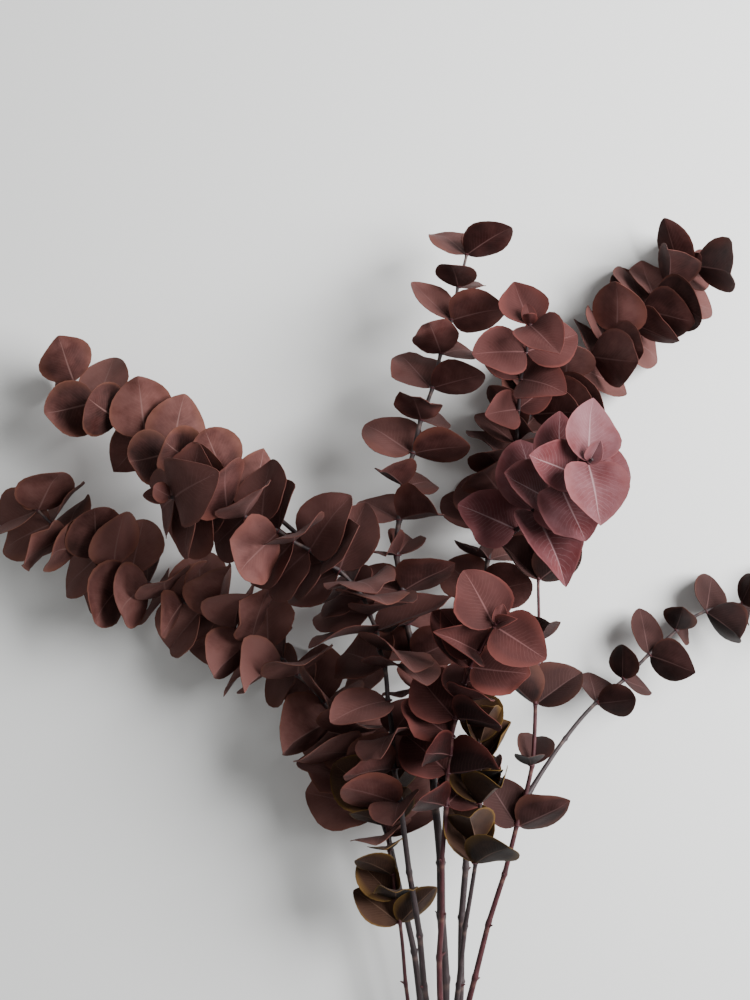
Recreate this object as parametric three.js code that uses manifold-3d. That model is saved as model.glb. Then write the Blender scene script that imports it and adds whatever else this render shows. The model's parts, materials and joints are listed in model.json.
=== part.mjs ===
// A cut branch of round-leafed (silver dollar) eucalyptus, dyed burgundy, lying on a table.
// Millimetres, +Z up. The cut end points to -Y and the leafy tips to +Y.
// The woody stem and each side branch are one node each, and so is each pair of leaves:
// two opposite leaves without stalks, grown together in a collar that clasps the stem.
import * as THREE from "three";
import { mergeVertices } from "three/addons/utils/BufferGeometryUtils.js";
import Module from "manifold-3d";

const wasm = await Module();
wasm.setup();

// Stems
const stemSides = 8;
const ringSpacing = 26; // length of stem from one ring of vertices to the next
const tipRadius = 1;

// Leaves
const leafThickness = 0.9;
const leafBroadness = 0.98; // greatest width over length
const leafShoulder = 0.18; // how much fuller the base half is than the tip half
const leafCup = 0.09; // rise of the margins over the midrib, in leaf lengths
const leafRecurve = 0.07; // how far the tip bends back, in leaf lengths
const leafSegmentsRound = 6;
const leafSegmentsLong = 6;
const pairUnevenness = 0.08; // the two leaves of a pair differ by up to this much
const turnUnevenness = 22; // degrees by which a pair may turn from its regular place
const mostRoll = 66; // degrees that a blade may turn about its own midrib
const seedsPerPair = 5;

// The collar that clasps the stem
const collarWall = 1.3;
const bladeStart = 0.6; // depth in the collar's wall where a blade starts, as a share of the wall
const collarHeight = 2.6;
const fitGap = 0.6; // clearance of a collar round its stem
const leastGap = 0.3; // two pieces come no closer than this
const smallestEdge = 0.3; // shorter edges left by a join are taken out
const mergeDistance = 1e-4;
const tipMargin = 4; // the last collar stays this far below the tip of its stem

// A pair with no room turns less to the light, turns round its stem, opens less or is smaller.
const rollTries = [1, 0.6, 0.2];
const openingTries = [0, -12, -24, -36];
const turnTries = [0, 15, -15, 30, -30, 45, -45, 60, -60, 75, -75, 90];
const sizeTries = [1, 0.86, 0.72];

const colours = {
  bark: "#3d2428",
  redBark: "#5e2226",
  burgundy: "#5a2a28",
  dustyBrown: "#74453f",
  deepBrown: "#46231f",
  pink: "#a9686c",
  red: "#7a2a2b",
  olive: "#6b5636",
};

// Each branch: the stem it grows from and where (as a share of that stem's length), the radius at
// its foot, the points that its stem runs through after the foot, and its leaves.
// leaves: number of pairs, the stretch of stem that holds them (first and last, as shares of its
// length), length of the first and last leaf, opening from the stem of the first and last pair,
// the turn of the pairs round the stem (0 spreads level, 90 stands upright) and how far the blades
// turn to the light (0 stays square to the stem, 1 lies open to it).
const branches = [
  {
    name: "leader",
    radius: 4.6,
    bark: colours.bark,
    route: [
      [32, -40, 4.8], [37, 56, 20], [35, 152, 42], [32, 232, 56], [26, 328, 68], [8, 440, 74],
      [-3, 520, 76], [6, 576, 76], [27, 648, 74], [40, 696, 70], [52, 746, 66],
    ],
    leaves: { count: 6, from: 0.66, to: 0.99, length: [43, 43], open: [66, 50], turn: 20, light: 0.5 },
    colour: colours.burgundy,
  },
  {
    name: "left_branch",
    parent: "leader",
    foot: 0.09,
    radius: 2.9,
    bark: colours.bark,
    route: [
      [17, 152, 36], [2, 240, 42], [-26, 336, 46], [-62, 398, 48], [-110, 440, 48],
      [-160, 468, 48], [-208, 492, 48], [-252, 516, 47], [-286, 548, 46],
    ],
    leaves: { count: 7, from: 0.44, to: 0.99, length: [57, 48], open: [65, 70], turn: 50, light: 0.55 },
    colour: colours.dustyBrown,
  },
  {
    name: "upper_left_branch",
    parent: "leader",
    foot: 0.145,
    radius: 2.8,
    bark: colours.bark,
    route: [
      [22, 152, 62], [10, 248, 84], [-4, 344, 98], [-14, 432, 108], [-32, 484, 114],
      [-66, 512, 120], [-104, 534, 126], [-140, 546, 134], [-172, 554, 146],
    ],
    leaves: { count: 5, from: 0.62, to: 0.985, length: [56, 50], open: [74, 80], turn: 60, light: 0.5 },
    colour: colours.burgundy,
  },
  {
    name: "far_left_twig",
    parent: "upper_left_branch",
    foot: 0.76,
    radius: 1.9,
    bark: colours.bark,
    route: [[-122, 560, 90], [-168, 584, 66], [-216, 612, 48], [-258, 646, 38]],
    leaves: { count: 3, from: 0.42, to: 0.98, length: [48, 44], open: [64, 58], turn: 40, light: 0.75 },
    colour: colours.dustyBrown,
  },
  {
    name: "right_branch",
    parent: "leader",
    foot: 0.16,
    radius: 3,
    bark: colours.bark,
    route: [
      [46, 152, 30], [49, 232, 35], [54, 328, 36], [60, 440, 35], [72, 520, 35],
      [86, 584, 34], [110, 628, 34], [146, 660, 34], [186, 696, 34], [234, 738, 34],
    ],
    leaves: { count: 6, from: 0.62, to: 0.99, length: [52, 46], open: [60, 60], turn: 40, light: 0.65 },
    colour: colours.burgundy,
  },
  {
    name: "upper_twig",
    parent: "right_branch",
    foot: 0.72,
    radius: 1.6,
    bark: colours.bark,
    route: [[88, 612, 74], [91, 648, 98], [95, 684, 122]],
    leaves: { count: 2, from: 0.6, to: 0.96, length: [40, 38], open: [62, 72], turn: 60, light: 0.6 },
    colour: colours.red,
  },
  {
    name: "raised_twig",
    parent: "right_branch",
    foot: 0.61,
    radius: 1.8,
    bark: colours.bark,
    route: [[86, 528, 84], [110, 556, 120], [136, 580, 158]],
    leaves: { count: 3, from: 0.5, to: 0.97, length: [56, 50], open: [68, 76], turn: 30, light: 0.5 },
    colour: colours.pink,
  },
  {
    name: "thin_branch",
    parent: "leader",
    foot: 0.19,
    radius: 2.6,
    bark: colours.redBark,
    route: [
      [52, 168, 62], [72, 246, 76], [92, 320, 84], [99, 356, 86], [103, 432, 88], [104, 512, 88],
    ],
    leaves: { count: 3, from: 0.5, to: 0.95, length: [42, 38], open: [48, 44], turn: 10, light: 0.6 },
    colour: colours.deepBrown,
  },
  {
    name: "right_twig",
    parent: "thin_branch",
    foot: 0.56,
    radius: 1.8,
    bark: colours.bark,
    route: [
      [116, 356, 66], [138, 380, 50], [166, 404, 39], [194, 428, 32], [232, 460, 28],
      [272, 470, 27], [304, 474, 28],
    ],
    leaves: { count: 4, from: 0.34, to: 0.97, length: [38, 36], open: [52, 60], turn: 40, light: 0.7 },
    colour: colours.deepBrown,
  },
  {
    name: "centre_branch",
    parent: "leader",
    foot: 0.175,
    radius: 2.7,
    bark: colours.redBark,
    route: [
      [30, 160, 70], [30, 248, 98], [34, 344, 120], [42, 408, 140], [56, 446, 158], [68, 466, 180],
    ],
    leaves: { count: 4, from: 0.66, to: 0.98, length: [48, 42], open: [58, 60], turn: 30, light: 0.6 },
    colour: colours.red,
  },
  {
    name: "lower_centre_branch",
    parent: "leader",
    foot: 0.21,
    radius: 2.4,
    bark: colours.bark,
    route: [[44, 190, 78], [50, 240, 94], [56, 296, 106], [58, 344, 114], [56, 392, 124]],
    leaves: { count: 3, from: 0.6, to: 0.92, length: [48, 42], open: [44, 40], turn: 20, light: 0.6 },
    colour: colours.olive,
  },
  {
    name: "lower_left_twig",
    parent: "leader",
    foot: 0.125,
    radius: 1.9,
    bark: colours.redBark,
    route: [[8, 152, 52], [2, 204, 64], [-4, 248, 70], [-10, 296, 74], [-18, 344, 78]],
    leaves: { count: 2, from: 0.6, to: 0.92, length: [42, 46], open: [40, 40], turn: 20, light: 0.65 },
    colour: colours.olive,
  },
];

const up = new THREE.Vector3(0, 0, 1);
const mix = THREE.MathUtils.lerp;
const radians = THREE.MathUtils.degToRad;

// The same small unevenness in every build: a value from -1 to 1 for each seed.
function unevenness(seed) {
  const wave = Math.sin(seed * 12.9898) * 43758.5453;
  return 2 * (wave - Math.floor(wave)) - 1;
}

function closedGeometry(geometry) {
  geometry.deleteAttribute("normal");
  geometry.deleteAttribute("uv");
  return mergeVertices(geometry, mergeDistance);
}

function solidOf(geometry) {
  const vertProperties = geometry.attributes.position.array;
  const triVerts = new Uint32Array(geometry.index.array);
  return new wasm.Manifold(new wasm.Mesh({ numProp: 3, vertProperties, triVerts }));
}

function geometryOf(solid) {
  const mesh = solid.getMesh();
  const geometry = new THREE.BufferGeometry();
  geometry.setAttribute("position", new THREE.BufferAttribute(mesh.vertProperties, mesh.numProp));
  geometry.setIndex(new THREE.BufferAttribute(mesh.triVerts, 1));
  geometry.computeVertexNormals();
  return geometry;
}

// Moves every vertex of a geometry with a function of its old place.
function reshape(geometry, move) {
  const position = geometry.attributes.position;
  const vertex = new THREE.Vector3();
  for (let i = 0; i < position.count; i += 1) {
    vertex.fromBufferAttribute(position, i);
    const moved = move(vertex);
    position.setXYZ(i, moved.x, moved.y, moved.z);
  }
  return geometry;
}

function ringCount(branch) {
  return Math.round(branch.curve.getLength() / ringSpacing);
}

// A stem is straight from one ring to the next, and its collars sit on those straight stretches.
function centreAt(branch, share) {
  const rings = ringCount(branch);
  const ring = Math.min(Math.floor(share * rings), rings - 1);
  const start = branch.curve.getPointAt(ring / rings);
  const end = branch.curve.getPointAt((ring + 1) / rings);
  return start.lerp(end, share * rings - ring);
}

// The place on a branch at a share of its length: point, directions and stem radius.
function stationAt(branch, share) {
  const along = branch.curve.getTangentAt(share);
  const level = new THREE.Vector3().crossVectors(along, up).normalize();
  return {
    point: centreAt(branch, share),
    along,
    level,
    lift: new THREE.Vector3().crossVectors(level, along),
    radius: mix(branch.radius, tipRadius, share),
  };
}

// A tapered stem with closed ends that follows the branch's route.
function stemGeometry(branch) {
  const rod = new THREE.CylinderGeometry(1, 1, 1, stemSides, ringCount(branch));
  reshape(rod, (vertex) => {
    const station = stationAt(branch, THREE.MathUtils.clamp(vertex.y + 0.5, 0, 1));
    return station.point
      .addScaledVector(station.level, vertex.x * station.radius)
      .addScaledVector(station.lift, vertex.z * station.radius);
  });
  return closedGeometry(rod);
}

// The turn about its midrib that lays a blade open to the light, with its nearer side towards it.
function rollToLight(open, light) {
  const turn = Math.atan2(light.y, Math.sin(open) * light.z - Math.cos(open) * light.x);
  return Math.abs(turn) > Math.PI / 2 ? turn - Math.sign(turn) * Math.PI : turn;
}

// A thin round blade that leaves the collar along +X, opens from +Z by the angle given and is
// rolled about its midrib by a share of the way to the light.
function leafSolid(length, open, startRadius, light, rollShare) {
  const most = radians(mostRoll);
  const roll = THREE.MathUtils.clamp(rollToLight(open, light) * rollShare, -most, most);
  const ball = new THREE.SphereGeometry(1, leafSegmentsRound, leafSegmentsLong);
  const outward = new THREE.Vector3(Math.sin(open), 0, Math.cos(open));
  const face = new THREE.Vector3(-Math.cos(open), 0, Math.sin(open)).applyAxisAngle(outward, -roll);
  const side = new THREE.Vector3().crossVectors(face, outward);
  reshape(ball, (vertex) => {
    const along = (1 - vertex.y) / 2;
    const fullness = 1 + leafShoulder * (1 - 2 * along);
    const across = vertex.x * fullness;
    const rise = (leafCup * across ** 2 - leafRecurve * along ** 2) * length;
    return new THREE.Vector3(startRadius, 0, 0)
      .addScaledVector(outward, along * length)
      .addScaledVector(face, rise + (vertex.z * leafThickness) / 2)
      .addScaledVector(side, (across * leafBroadness * length) / 2);
  });
  return solidOf(closedGeometry(ball));
}

// A ring with its axis on +Z that clears the stem inside it.
function collarSolid(stemRadius) {
  const inner = (stemRadius + fitGap) / Math.cos(Math.PI / stemSides);
  const outer = inner + collarWall;
  const half = collarHeight / 2;
  const profile = [
    new THREE.Vector2(inner, -half),
    new THREE.Vector2(outer, -half),
    new THREE.Vector2(outer, half),
    new THREE.Vector2(inner, half),
    new THREE.Vector2(inner, -half),
  ];
  const ring = new THREE.LatheGeometry(profile, stemSides);
  ring.rotateX(Math.PI / 2);
  return solidOf(closedGeometry(ring));
}

// Two opposite leaves and their collar, with the stem's axis on +Z and the light where it is given.
function pairSolid(pair, light) {
  const startRadius = pair.radius + fitGap + collarWall * bladeStart;
  const lightBehind = new THREE.Vector3(-light.x, -light.y, light.z);
  const first = leafSolid(
    pair.length * (1 + pairUnevenness * unevenness(pair.seed)),
    radians(pair.open * (1 + pairUnevenness * unevenness(pair.seed + 1))),
    startRadius,
    light,
    pair.rollShare,
  );
  const second = leafSolid(
    pair.length * (1 + pairUnevenness * unevenness(pair.seed + 2)),
    radians(pair.open * (1 + pairUnevenness * unevenness(pair.seed + 3))),
    startRadius,
    lightBehind,
    pair.rollShare,
  ).rotate([0, 0, 180]);
  return first.add(second).add(collarSolid(pair.radius)).simplify(smallestEdge);
}

// The turn and place that set a pair on its stem.
function pairMatrix(station, turn) {
  const angle = radians(turn);
  const spread = station.level.clone().multiplyScalar(Math.cos(angle));
  spread.addScaledVector(station.lift, Math.sin(angle));
  const across = new THREE.Vector3().crossVectors(station.along, spread);
  return new THREE.Matrix4().makeBasis(spread, across, station.along).setPosition(station.point);
}

function hasRoom(solid, others) {
  return others.every((other) => solid.minGap(other, 2 * leastGap) > leastGap);
}

// The first of the tries that leaves the pair clear of everything placed before it.
function fitPair(pair, station, others) {
  for (const size of sizeTries) {
    for (const opening of openingTries) {
      for (const turn of turnTries) {
        const matrix = pairMatrix(station, pair.turn + turn);
        const light = up.clone().transformDirection(matrix.clone().transpose());
        for (const roll of rollTries) {
          const tried = {
            ...pair,
            length: pair.length * size,
            open: pair.open + opening,
            rollShare: pair.rollShare * roll,
          };
          const solid = pairSolid(tried, light);
          if (hasRoom(solid.transform(matrix.elements), others)) {
            return { solid, matrix };
          }
        }
      }
    }
  }
  throw new Error(`no room for a pair of leaves on ${pair.name}`);
}

function stemMesh(branch) {
  const material = new THREE.MeshStandardMaterial({ color: branch.bark, roughness: 0.7, metalness: 0 });
  const mesh = new THREE.Mesh(stemGeometry(branch), material);
  mesh.name = `${branch.name}_stem`;
  return mesh;
}

function pairMesh(branch, index, fitted) {
  const material = new THREE.MeshStandardMaterial({ color: branch.colour, roughness: 0.6, metalness: 0 });
  const mesh = new THREE.Mesh(geometryOf(fitted.solid), material);
  mesh.name = `${branch.name}_leaf_pair_${index + 1}`;
  fitted.matrix.decompose(mesh.position, mesh.quaternion, mesh.scale);
  return mesh;
}

// Pairs stand crosswise to the pair before them, so every second one turns back the same way.
function wantedPair(branch, index, seed) {
  const { count, from, to, length, open, turn, light } = branch.leaves;
  const progress = count > 1 ? index / (count - 1) : 0;
  const share = Math.min(mix(from, to, progress), 1 - tipMargin / branch.curve.getLength());
  return {
    name: branch.name,
    share,
    seed,
    length: mix(length[0], length[1], progress),
    open: mix(open[0], open[1], progress),
    turn: turn + turnUnevenness * unevenness(seed + 4),
    rollShare: light,
    radius: stationAt(branch, share).radius,
  };
}

// The foot of a side branch sits beside its parent stem, on the side that it grows towards.
function footOf(branch, parent) {
  const station = stationAt(parent, branch.foot);
  const next = new THREE.Vector3(...branch.route[0]);
  const side = next.sub(station.point).projectOnPlane(station.along).normalize();
  return station.point.addScaledVector(side, station.radius + branch.radius + fitGap);
}

function routeCurve(branch) {
  const points = branch.route.map((point) => new THREE.Vector3(...point));
  if (branch.parent) {
    points.unshift(footOf(branch, branches.find((other) => other.name === branch.parent)));
  }
  return new THREE.CatmullRomCurve3(points);
}

function buildBranch() {
  const group = new THREE.Group();
  const placed = [];
  for (const branch of branches) {
    branch.curve = routeCurve(branch);
    const mesh = stemMesh(branch);
    group.add(mesh);
    placed.push(solidOf(mesh.geometry));
  }
  let seed = 1;
  for (const branch of branches) {
    for (let index = 0; index < branch.leaves.count; index += 1) {
      const pair = wantedPair(branch, index, seed);
      const fitted = fitPair(pair, stationAt(branch, pair.share), placed);
      group.add(pairMesh(branch, index, fitted));
      placed.push(fitted.solid.transform(fitted.matrix.elements));
      seed += seedsPerPair;
    }
  }
  return group;
}

// Moves the branch so that the origin is the bottom centre of its bounding box.
function standOnOrigin(group) {
  group.updateMatrixWorld(true);
  const box = new THREE.Box3().setFromObject(group, true);
  const middle = box.getCenter(new THREE.Vector3());
  group.position.set(-middle.x, -middle.y, -box.min.z);
  return group;
}

export default standOnOrigin(buildBranch());
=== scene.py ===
import json
import math
import random
from itertools import product

import bmesh
import bpy
import numpy as np
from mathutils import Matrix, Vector
from mathutils.bvhtree import BVHTree


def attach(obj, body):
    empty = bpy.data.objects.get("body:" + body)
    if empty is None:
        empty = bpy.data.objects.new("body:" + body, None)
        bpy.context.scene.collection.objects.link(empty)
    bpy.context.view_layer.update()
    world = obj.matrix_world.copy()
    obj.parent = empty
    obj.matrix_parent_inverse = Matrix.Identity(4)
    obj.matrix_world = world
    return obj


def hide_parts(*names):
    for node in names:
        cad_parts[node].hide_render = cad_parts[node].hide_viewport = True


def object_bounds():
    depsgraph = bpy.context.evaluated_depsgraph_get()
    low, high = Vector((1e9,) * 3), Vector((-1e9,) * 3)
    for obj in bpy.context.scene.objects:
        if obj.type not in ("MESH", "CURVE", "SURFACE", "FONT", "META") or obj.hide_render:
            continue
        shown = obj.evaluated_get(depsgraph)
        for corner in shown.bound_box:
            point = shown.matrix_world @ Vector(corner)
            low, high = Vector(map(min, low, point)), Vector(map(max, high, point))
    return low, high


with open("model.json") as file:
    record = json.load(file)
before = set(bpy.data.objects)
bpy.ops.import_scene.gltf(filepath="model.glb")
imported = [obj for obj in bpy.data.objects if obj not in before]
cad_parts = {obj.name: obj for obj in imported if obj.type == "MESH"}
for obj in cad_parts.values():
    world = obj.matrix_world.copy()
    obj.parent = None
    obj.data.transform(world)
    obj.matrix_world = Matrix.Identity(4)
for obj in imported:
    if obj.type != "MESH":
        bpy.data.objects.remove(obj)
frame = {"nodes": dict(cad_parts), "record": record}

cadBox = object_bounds()
draw = random.Random(41)  # every uneven thing below comes from this one run of draws
nodeNames = sorted(frame["nodes"])
branchNames = [name[: -len("_stem")] for name in nodeNames if name.endswith("_stem")]


def deselectAll():
    if bpy.context.mode != "OBJECT":
        bpy.ops.object.mode_set(mode="OBJECT")
    bpy.ops.object.select_all(action="DESELECT")


def makeActive(thing):
    deselectAll()
    thing.select_set(True)
    bpy.context.view_layer.objects.active = thing


def applyPlace():
    bpy.ops.object.transform_apply(location=True, rotation=True, scale=True)


def joinInto(first, others):
    makeActive(first)
    for other in others:
        other.select_set(True)
    bpy.ops.object.join()
    return first


def pointsOf(thing):
    points = np.empty(len(thing.data.vertices) * 3)
    thing.data.vertices.foreach_get("co", points)
    return points.reshape(-1, 3)


def setPoints(thing, points):
    thing.data.vertices.foreach_set("co", np.asarray(points, dtype=float).ravel())
    thing.data.update()


def nodePoints(node):
    return np.unique(np.round(pointsOf(bpy.data.objects[node]), 6), axis=0)


def unit(vector):
    return vector / np.linalg.norm(vector)


# ---- shader building

def addNode(tree, kind, place, **values):
    node = tree.nodes.new(kind)
    node.location = place
    for key, value in values.items():
        setattr(node, key, value)
    return node


def addMath(tree, operation, first, second, place, third=None, clamp=False):
    node = addNode(tree, "ShaderNodeMath", place, operation=operation, use_clamp=clamp)
    for socket, value in zip(node.inputs, (first, second, third)):
        if isinstance(value, (int, float)):
            socket.default_value = value
        elif value is not None:
            tree.links.new(value, socket)
    return node.outputs[0]


def addMix(tree, factor, first, second, place):
    node = addNode(tree, "ShaderNodeMix", place, data_type="RGBA")
    for socket, value in zip((node.inputs[0], node.inputs[6], node.inputs[7]), (factor, first, second)):
        if isinstance(value, (int, float, tuple)):
            socket.default_value = value
        else:
            tree.links.new(value, socket)
    return node.outputs[2]


# A ramp through evenly spaced colours.
def addRamp(tree, source, tones, place):
    node = addNode(tree, "ShaderNodeValToRGB", place)
    ramp = node.color_ramp
    while len(ramp.elements) < len(tones):
        ramp.elements.new(0.5)
    for index, (element, tone) in enumerate(zip(ramp.elements, tones)):
        element.position = index / (len(tones) - 1)
        element.color = (*tone, 1)
    tree.links.new(source, node.inputs[0])
    return node.outputs[0]


def addNoise(tree, vector, scale, detail, place, roughness=0.55):
    node = addNode(tree, "ShaderNodeTexNoise", place)
    node.inputs["Scale"].default_value = scale
    node.inputs["Detail"].default_value = detail
    node.inputs["Roughness"].default_value = roughness
    tree.links.new(vector, node.inputs["Vector"])
    return node.outputs["Fac"]


def addBump(tree, height, strength, distance, place):
    bump = addNode(tree, "ShaderNodeBump", place)
    bump.inputs["Strength"].default_value = strength
    bump.inputs["Distance"].default_value = distance
    tree.links.new(height, bump.inputs["Height"])
    tree.links.new(bump.outputs["Normal"], tree.nodes["Principled BSDF"].inputs["Normal"])


def startMaterial(name):
    material = bpy.data.materials.new(name)
    material.use_nodes = True
    tree = material.node_tree
    return material, tree, tree.nodes["Principled BSDF"]


def startGroup(name, vector, number, outputs):
    tree = bpy.data.node_groups.new(name, "ShaderNodeTree")
    tree.interface.new_socket(vector, in_out="INPUT", socket_type="NodeSocketVector")
    tree.interface.new_socket(number, in_out="INPUT", socket_type="NodeSocketFloat")
    for label in outputs:
        tree.interface.new_socket(label, in_out="OUTPUT", socket_type="NodeSocketFloat")
    return tree, addNode(tree, "NodeGroupInput", (-1400, 0)), addNode(tree, "NodeGroupOutput", (900, 0))


# Veins of a leaf from its own coordinates: x across (-1 to 1), y along (0 to 1), z towards the margin.
def makeVeinGroup():
    tree, start, end = startGroup("leafVeins", "Leaf Place", "Wander", ["Midrib", "Side Veins", "Margin"])
    split = addNode(tree, "ShaderNodeSeparateXYZ", (-1200, 0))
    tree.links.new(start.outputs["Leaf Place"], split.inputs[0])
    across, along, margin = split.outputs
    side = addMath(tree, "ABSOLUTE", across, None, (-1000, 100))
    taper = addMath(tree, "MULTIPLY_ADD", along, -0.04, (-1000, -60), 0.058)
    midrib = addMath(tree, "DIVIDE", side, taper, (-800, 100))
    midrib = addMath(tree, "SUBTRACT", 1.0, midrib, (-600, 100), clamp=True)
    slant = addMath(tree, "MULTIPLY", side, 0.34, (-800, -100))
    height = addMath(tree, "SUBTRACT", along, slant, (-600, -100))
    height = addMath(tree, "ADD", height, start.outputs["Wander"], (-450, -100))
    count = addMath(tree, "MULTIPLY", height, 15.0, (-300, -100))
    wave = addMath(tree, "PINGPONG", count, 0.5, (-150, -100))
    line = addMath(tree, "MULTIPLY", wave, 9.0, (0, -100))
    line = addMath(tree, "SUBTRACT", 1.0, line, (150, -100), clamp=True)
    fade = addMath(tree, "MULTIPLY", side, 1.25, (0, -260))
    fade = addMath(tree, "SUBTRACT", 1.15, fade, (150, -260), clamp=True)
    line = addMath(tree, "MULTIPLY", line, fade, (320, -160))
    for value, socket in zip((midrib, line, margin), end.inputs):
        tree.links.new(value, socket)
    return tree


# Mottling, bloom, spots and fine grain, from the object's own coordinates.
def makeBloomGroup():
    tree, start, end = startGroup("waxBloom", "Vector", "Amount", ["Mottle", "Bloom", "Spots", "Grain"])
    vector = start.outputs["Vector"]
    mottle = addNoise(tree, vector, 70, 4, (-1100, 300))
    cloud = addNoise(tree, vector, 38, 5, (-1100, 60), 0.65)
    bloom = addMath(tree, "MULTIPLY_ADD", cloud, 2.6, (-850, 60), -0.85, clamp=True)
    bloom = addMath(tree, "MULTIPLY", bloom, start.outputs["Amount"], (-650, 60))
    cells = addNode(tree, "ShaderNodeTexVoronoi", (-1100, -200))
    cells.inputs["Scale"].default_value = 170
    tree.links.new(vector, cells.inputs["Vector"])
    spots = addMath(tree, "MULTIPLY_ADD", cells.outputs["Distance"], -9.0, (-850, -200), 1.0, clamp=True)
    sparse = addNoise(tree, vector, 55, 2, (-1100, -450))
    sparse = addMath(tree, "MULTIPLY_ADD", sparse, 9.0, (-850, -450), -4.9, clamp=True)
    spots = addMath(tree, "MULTIPLY", spots, sparse, (-650, -300))
    grain = addNoise(tree, vector, 1500, 3, (-1100, -700), 0.7)
    for value, socket in zip((mottle, bloom, spots, grain), end.inputs):
        tree.links.new(value, socket)
    return tree


veinGroup = makeVeinGroup()
bloomGroup = makeBloomGroup()

spotColour = (0.02, 0.009, 0.008)

# One entry for each finish of leaf: colours from the darkest leaves to the lightest, the pale waxy
# bloom, the colour of the underside, and how yellow and how bright the thin margin is.
leafLooks = {
    "leaf_burgundy": {
        "tones": [
            (0.009, 0.0014, 0.0012), (0.025, 0.005, 0.0043),
            (0.054, 0.0155, 0.0135), (0.094, 0.035, 0.031),
        ],
        "under": (0.1, 0.041, 0.036), "bloom": (0.135, 0.06, 0.056), "bloomAmount": 0.38,
        "vein": (0.16, 0.08, 0.076), "rim": (0.15, 0.048, 0.033), "rimAmount": 0.35,
    },
    "leaf_dusty_brown": {
        "tones": [
            (0.015, 0.0035, 0.003), (0.044, 0.012, 0.01),
            (0.088, 0.031, 0.026), (0.14, 0.057, 0.05),
        ],
        "under": (0.15, 0.066, 0.057), "bloom": (0.18, 0.086, 0.079), "bloomAmount": 0.42,
        "vein": (0.2, 0.11, 0.1), "rim": (0.2, 0.075, 0.046), "rimAmount": 0.4,
    },
    "leaf_deep_brown": {
        "tones": [
            (0.005, 0.0011, 0.0011), (0.012, 0.003, 0.0025),
            (0.025, 0.0075, 0.007), (0.041, 0.0145, 0.0135),
        ],
        "under": (0.043, 0.0175, 0.016), "bloom": (0.064, 0.029, 0.027), "bloomAmount": 0.36,
        "vein": (0.1, 0.054, 0.052), "rim": (0.12, 0.042, 0.028), "rimAmount": 0.3,
    },
    "leaf_red": {
        "tones": [
            (0.008, 0.0007, 0.0007), (0.021, 0.002, 0.002),
            (0.043, 0.0065, 0.0055), (0.082, 0.024, 0.022),
        ],
        "under": (0.066, 0.022, 0.02), "bloom": (0.098, 0.039, 0.038), "bloomAmount": 0.27,
        "vein": (0.16, 0.072, 0.07), "rim": (0.19, 0.048, 0.038), "rimAmount": 0.4,
    },
    "leaf_pink": {
        "tones": [
            (0.028, 0.0014, 0.0015), (0.074, 0.0058, 0.0062),
            (0.118, 0.032, 0.036), (0.19, 0.092, 0.106),
        ],
        "under": (0.11, 0.03, 0.033), "bloom": (0.205, 0.108, 0.122), "bloomAmount": 0.45,
        "vein": (0.3, 0.19, 0.2), "rim": (0.26, 0.09, 0.09), "rimAmount": 0.35,
    },
    "leaf_olive": {
        "tones": [
            (0.0055, 0.0016, 0.001), (0.014, 0.005, 0.0025),
            (0.03, 0.012, 0.006), (0.057, 0.028, 0.015),
        ],
        "under": (0.054, 0.026, 0.0165), "bloom": (0.082, 0.043, 0.031), "bloomAmount": 0.32,
        "vein": (0.14, 0.08, 0.055), "rim": (0.18, 0.098, 0.022), "rimAmount": 0.6,
    },
}


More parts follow.
